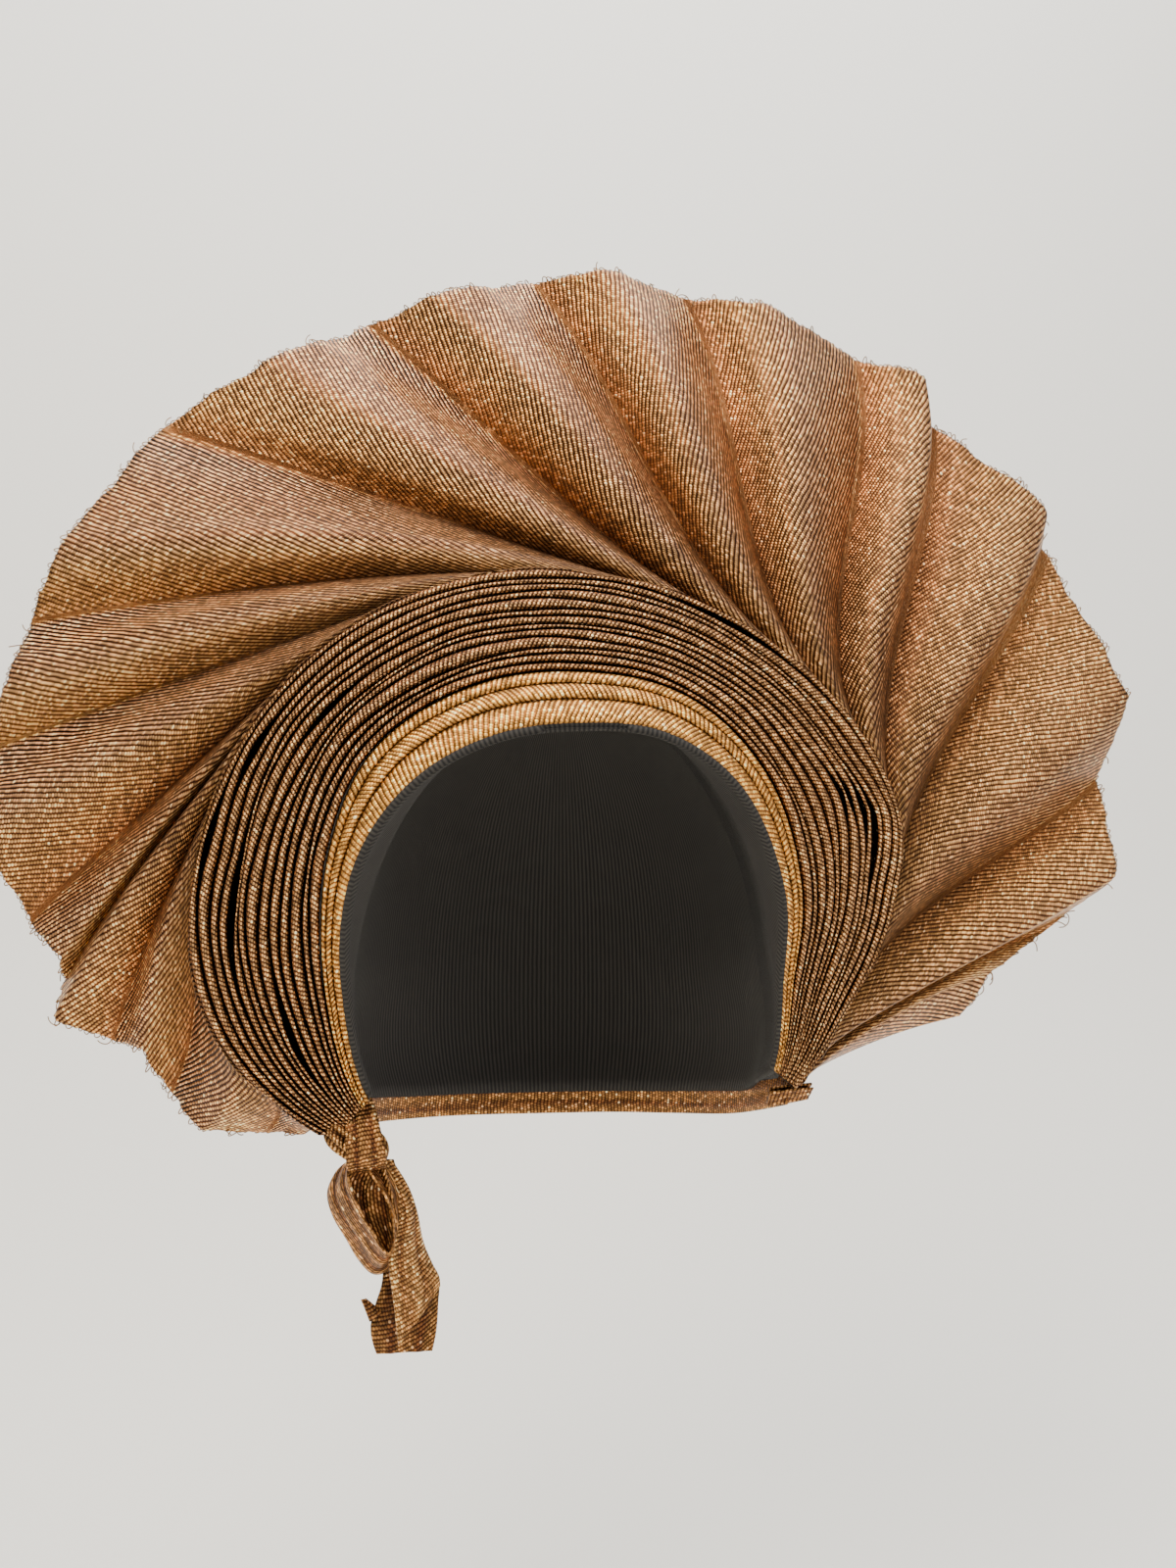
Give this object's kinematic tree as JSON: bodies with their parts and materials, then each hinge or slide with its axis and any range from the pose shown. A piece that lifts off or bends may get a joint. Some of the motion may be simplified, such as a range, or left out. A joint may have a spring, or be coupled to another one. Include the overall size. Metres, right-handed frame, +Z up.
{
  "type": "tied gele head tie",
  "caption": "Ready-tied gele head tie of copper lurex cloth, pleated in a ring round the face and fanned out above it, knotted at the left jaw over a black cap.",
  "frame": {"origin": "crown seat: the top of the inside of the cap, where it rests on the top of the wearer's head", "axes": "-Y is the way the face looks, +X is the viewer's right seen from the front, +Z is up"},
  "size_m": [0.4521, 0.1624, 0.4181],
  "materials": {
    "cap_jersey": "matt black stretch jersey",
    "brow_cloth": "satin gold-copper lurex, bias ribs",
    "pleat_cloth": "copper lurex in tight cord-like pleats",
    "fan_cloth": "satin rose-copper lurex, ribbed weave",
    "tie_cloth": "copper lurex, crumpled, glittering"
  },
  "bodies": {
    "root": {"inner_cap": "cap_jersey", "brow_fold_1": "brow_cloth", "brow_fold_2": "brow_cloth", "brow_fold_3": "brow_cloth", "pleat_01": "pleat_cloth", "pleat_02": "pleat_cloth", "pleat_03": "pleat_cloth", "pleat_04": "pleat_cloth", "pleat_05": "pleat_cloth", "pleat_06": "pleat_cloth", "pleat_07": "pleat_cloth", "pleat_08": "pleat_cloth", "pleat_09": "pleat_cloth", "pleat_10": "pleat_cloth", "pleat_11": "pleat_cloth", "pleat_12": "pleat_cloth", "pleat_13": "pleat_cloth", "fan": "fan_cloth", "side_knot": "tie_cloth", "tie_loop": "tie_cloth", "tie_tail": "tie_cloth", "tie_end": "tie_cloth", "nape_tie": "tie_cloth"}
  },
  "joints": []
}
